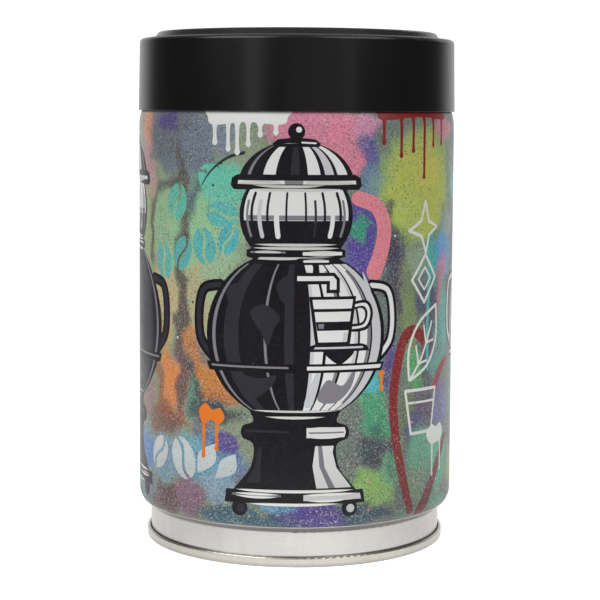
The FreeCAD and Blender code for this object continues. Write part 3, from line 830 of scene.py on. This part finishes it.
def slope_at(z):
    """How fast the print's radius falls with height."""
    low, high = past_turns(z)
    return -low / np.sqrt(LOW_ROUND**2 - low**2) + high / np.sqrt(HIGH_ROUND**2 - high**2)


def on_can(s, z, inset=0.0):
    """Points on the can for flat places, in metres."""
    turn = s / BODY
    r = radius_at(z) - inset
    return np.stack([r * np.sin(turn), -r * np.cos(turn), z], 1) * MM


def within(places, outline):
    """Numbers of the places inside a closed outline."""
    low, high = outline.min(0), outline.max(0)
    near = np.nonzero(((places > low) & (places < high)).all(1))[0]
    x, y = places[near].T
    turns = np.zeros(len(near), int)
    for (ax, ay), (bx, by) in zip(outline, np.roll(outline, -1, 0)):
        if ay != by:
            crossed = ((ay > y) != (by > y)) & (x < (bx - ax) * (y - ay) / (by - ay) + ax)
            turns += np.where(crossed, 1 if by > ay else -1, 0)
    return near[turns != 0]


def draw_artwork():
    """Every shape of the print, the topmost last."""
    streets()
    back_streets()
    spatter(420, 5)
    for centre, side in (RIGHT, BACK, LEFT, FRONT):
        coffee_urn(centre, side)


def cut_film():
    """The flat film as (s, z) points and triangles, cut along every shape and welded where its two ends
    meet, and each triangle's middle."""
    levels = [np.linspace(PRINT_LOW, LOW_TURN, 9), np.linspace(LOW_TURN, HIGH_TURN, 116)]
    levels.append(np.linspace(HIGH_TURN, PRINT_HIGH, 12))
    levels = sorted(set(np.round(np.concatenate(levels), 4)))
    dots = [Vector((START + ROUND * i / ACROSS, z)) for z in levels for i in range(ACROSS + 1)]
    edges = []
    for outline, _, _ in art.shapes:
        first, count = len(dots), len(outline)
        edges += [(first + k, first + (k + 1) % count) for k in range(count)]
        dots += outline
    spots, _, tris, _, _, _ = delaunay_2d_cdt(dots, edges, [], 0, 1e-4, False)
    flat = np.array([tuple(p) for p in spots])
    middles = flat[np.array(tris)].mean(1)
    ends = np.nonzero(np.isclose(flat[:, 0], CUT))[0]
    twin = {round(z, 3): i for i, (s, z) in enumerate(flat) if abs(s - START) < 1e-6}
    weld = {int(i): twin[round(flat[i, 1], 3)] for i in ends if round(flat[i, 1], 3) in twin}
    tris = np.array([[weld.get(v, v) for v in t] for t in tris])
    kept, tris = np.unique(tris, return_inverse=True)
    return flat[kept], tris.reshape(-1, 3), middles


def inks(flat, tris, middles):
    """The colour, darkened towards the bottom by painted shade, and the share of sprayed grain at each corner
    of each triangle.
    """
    colours, grains = np.ones((len(tris), 3, 4)), np.ones((len(tris), 3))
    colours[:, :, :3] = cloud_colours(flat)[tris]
    for outline, colour, grain in art.shapes:
        inside = within(middles, np.array(outline))
        colours[inside, :, :3] = linear(colour)
        grains[inside] = grain
    # Painted shade: every colour darkens from SHADE_TOP down towards the print's lower edge.
    depth = np.clip((SHADE_TOP - flat[tris][:, :, 1]) / SHADE_TALL, 0, 1)
    colours[:, :, :3] *= (1 - SHADE * depth**1.5)[:, :, None]
    return colours, grains


def closing(flat):
    """The points of the film's inner side, and the faces that make it and join it to both rims."""
    heights = np.concatenate([np.linspace(PRINT_LOW, LOW_TURN, 7), np.linspace(HIGH_TURN, PRINT_HIGH, 9)])
    around = START + ROUND * np.arange(ACROSS) / ACROSS
    grid_s, grid_z = np.meshgrid(around, heights)
    first, rows = len(flat), len(heights)

    def inner(row, k):
        return first + row * ACROSS + k % ACROSS

    def rim(edge):
        """The outer side's points along one rim, in the order of around."""
        found = np.nonzero(np.isclose(flat[:, 1], edge))[0]
        by_place = {round(float(flat[i, 0]), 3): int(i) for i in found}
        return [by_place[round(float(s), 3)] for s in around]

    low, high = rim(PRINT_LOW), rim(PRINT_HIGH)
    faces = []
    for k in range(ACROSS):
        n = (k + 1) % ACROSS
        for row in range(rows - 1):
            faces.append([inner(row, n), inner(row, k), inner(row + 1, k), inner(row + 1, n)])
        faces.append([low[n], low[k], inner(0, k), inner(0, n)])
        faces.append([high[k], high[n], inner(rows - 1, n), inner(rows - 1, k)])
    return on_can(grid_s.ravel(), grid_z.ravel(), FILM), faces


def printed_sleeve():
    """The print as one thin skin: its shapes are cut into the mesh, and each face takes its ink's colour."""
    draw_artwork()
    flat, tris, middles = cut_film()
    colours, grains = inks(flat, tris, middles)
    inner_places, inner_faces = closing(flat)
    places = np.concatenate([on_can(flat[:, 0], flat[:, 1]), inner_places])
    back = len(inner_faces) * 4
    colours = np.concatenate([colours.reshape(-1, 4), np.tile(BARE_FILM, (back, 1))])
    grains = np.concatenate([grains.ravel(), np.full(back, 0.1)])
    mesh = bpy.data.meshes.new("printed_skin")
    mesh.from_pydata(places.tolist(), [], tris.tolist() + inner_faces)
    mesh.attributes.new("ink", "FLOAT_COLOR", "CORNER").data.foreach_set("color", colours.ravel())
    mesh.attributes.new("grain", "FLOAT", "CORNER").data.foreach_set("value", grains.ravel())
    mesh.polygons.foreach_set("use_smooth", [True] * len(tris) + [False] * len(inner_faces))
    turn, lean = flat[:, 0] / BODY, np.arctan(slope_at(flat[:, 1]))
    normals = np.stack([np.sin(turn) * np.cos(lean), -np.cos(turn) * np.cos(lean), np.sin(lean)], 1)
    mesh.normals_split_custom_set(np.concatenate([normals[tris.ravel()], np.zeros((back, 3))]).tolist())
    skin = bpy.data.objects.new("printed_skin", mesh)
    bpy.context.scene.collection.objects.link(skin)
    mesh.materials.append(print_look())
    return skin


# ---------------------------------------------------------------- studio
FLOOR_RADIUS, FLOOR_MIDDLE = 0.34, (0, 0.19, 0)
GLOW_MIDDLE, GLOW_NEAR, GLOW_FAR = (0.01, -0.1, 0), 0.03, 0.1  # the glow fades between two distances
GLOW_BRIGHT, GLOW_DIM = 1.35, 0.8
WHITE_ROOM = 1.1  # how bright the camera sees the world


def floor():
    """A pale sheet that glows, most in front of the object, so that the object hardly shades it."""
    bpy.ops.mesh.primitive_circle_add(
        vertices=96, radius=FLOOR_RADIUS, fill_type="NGON", location=FLOOR_MIDDLE
    )
    plane = bpy.context.object
    plane.name = "floor"
    m = Nodes("pale_floor")
    m.put(
        Base_Color=(0.36, 0.36, 0.36, 1), Roughness=0.9, Specular_IOR_Level=0.0, Emission_Color=(1, 1, 1, 1)
    )
    away = m.add("VectorMath", operation="DISTANCE")
    m.join(m.add("NewGeometry").outputs["Position"], away.inputs[0])
    away.inputs[1].default_value = GLOW_MIDDLE
    glow = m.ramp(away.outputs["Value"], GLOW_NEAR, GLOW_FAR, GLOW_BRIGHT, GLOW_DIM)
    m.join(glow, m.shader.inputs["Emission Strength"])
    plane.data.materials.append(m.material)


def world():
    """A bright backdrop and a faint ceiling, in a dim room. The camera sees white all round."""
    made = bpy.data.worlds.new("studio")
    bpy.context.scene.world = made
    made.use_nodes = True
    tree = made.node_tree
    tree.nodes.clear()
    add, link = tree.nodes.new, tree.links.new
    split = add("ShaderNodeSeparateXYZ")
    link(add("ShaderNodeTexCoord").outputs["Generated"], split.inputs[0])

    def rise(axis, low, high, dim, bright):
        node = add("ShaderNodeMapRange")
        node.interpolation_type = "SMOOTHSTEP"
        for key, number in (("From Min", low), ("From Max", high), ("To Min", dim), ("To Max", bright)):
            node.inputs[key].default_value = number
        link(split.outputs[axis], node.inputs["Value"])
        return node.outputs["Result"]

    brighter = add("ShaderNodeMath")
    brighter.operation = "MAXIMUM"
    link(rise("Z", 0.25, 0.7, 0.1, 0.3), brighter.inputs[0])
    link(rise("Y", 0.55, 0.85, 0.1, 0.9), brighter.inputs[1])
    strength = add("ShaderNodeMix")
    strength.data_type = "FLOAT"
    link(add("ShaderNodeLightPath").outputs["Is Camera Ray"], strength.inputs[0])
    link(brighter.outputs[0], strength.inputs[2])
    strength.inputs[3].default_value = WHITE_ROOM
    sky = add("ShaderNodeBackground")
    sky.inputs["Color"].default_value = (1, 1, 1, 1)
    link(strength.outputs[0], sky.inputs["Strength"])
    link(sky.outputs[0], add("ShaderNodeOutputWorld").inputs["Surface"])


def softbox(name, place, aim, size, power):
    """A rectangular lamp at a place, turned towards aim; size in metres, power in watts."""
    lamp = bpy.data.lights.new(name, "AREA")
    lamp.shape = "RECTANGLE"
    lamp.size, lamp.size_y = size
    lamp.energy = power
    box = bpy.data.objects.new(name, lamp)
    bpy.context.scene.collection.objects.link(box)
    box.location = place
    box.rotation_euler = (Vector(aim) - Vector(place)).to_track_quat("-Z", "Y").to_euler()


def camera():
    """The photograph's view: level with the lid's foot, looking a little down."""
    distance, height, lens = 0.5589, 0.1357, 105.85
    tilt, roll, pan = (math.radians(a) for a in (5.063, 0.341, 0.134))
    forward = Vector((math.sin(pan) * math.cos(tilt), math.cos(pan) * math.cos(tilt), -math.sin(tilt)))
    level = Vector((math.cos(pan), -math.sin(pan), 0))
    upright = level.cross(forward)
    right = level * math.cos(roll) + upright * math.sin(roll)
    up = upright * math.cos(roll) - level * math.sin(roll)
    data = bpy.data.cameras.new("camera")
    data.lens, data.sensor_width = lens, 36
    data.shift_y = -0.06
    data.clip_start, data.clip_end = 0.01, 50
    made = bpy.data.objects.new("camera", data)
    bpy.context.scene.collection.objects.link(made)
    turn = Matrix((right, up, -forward)).transposed().to_4x4()
    made.matrix_world = Matrix.Translation((0, -distance, height)) @ turn
    bpy.context.scene.camera = made


skin = printed_sleeve()
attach(skin, "can")
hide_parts("printed_sleeve")

floor()
world()
softbox("softbox_top", (0, 0.3, 1.6), (0, 0, 0), (2.0, 2.0), 5)
softbox("softbox_key_left", (-1.3, -1.2, 1.3), (0, 0, 0.08), (1.8, 1.4), 28)
softbox("softbox_key_right", (1.3, -1.2, 1.3), (0, 0, 0.08), (1.8, 1.4), 21)
softbox("softbox_strip_left", (-0.62, -1.06, 0.3), (0, 0, 0.1), (0.2, 1.0), 0.55)
softbox("softbox_strip_right", (0.74, -0.98, 0.3), (0, 0, 0.1), (0.12, 1.0), 0.25)
softbox("softbox_front", (0.19, -1.21, 0.3), (0, 0, 0.1), (0.7, 1.0), 0.5)
camera()
bpy.context.scene.view_settings.view_transform = "Standard"
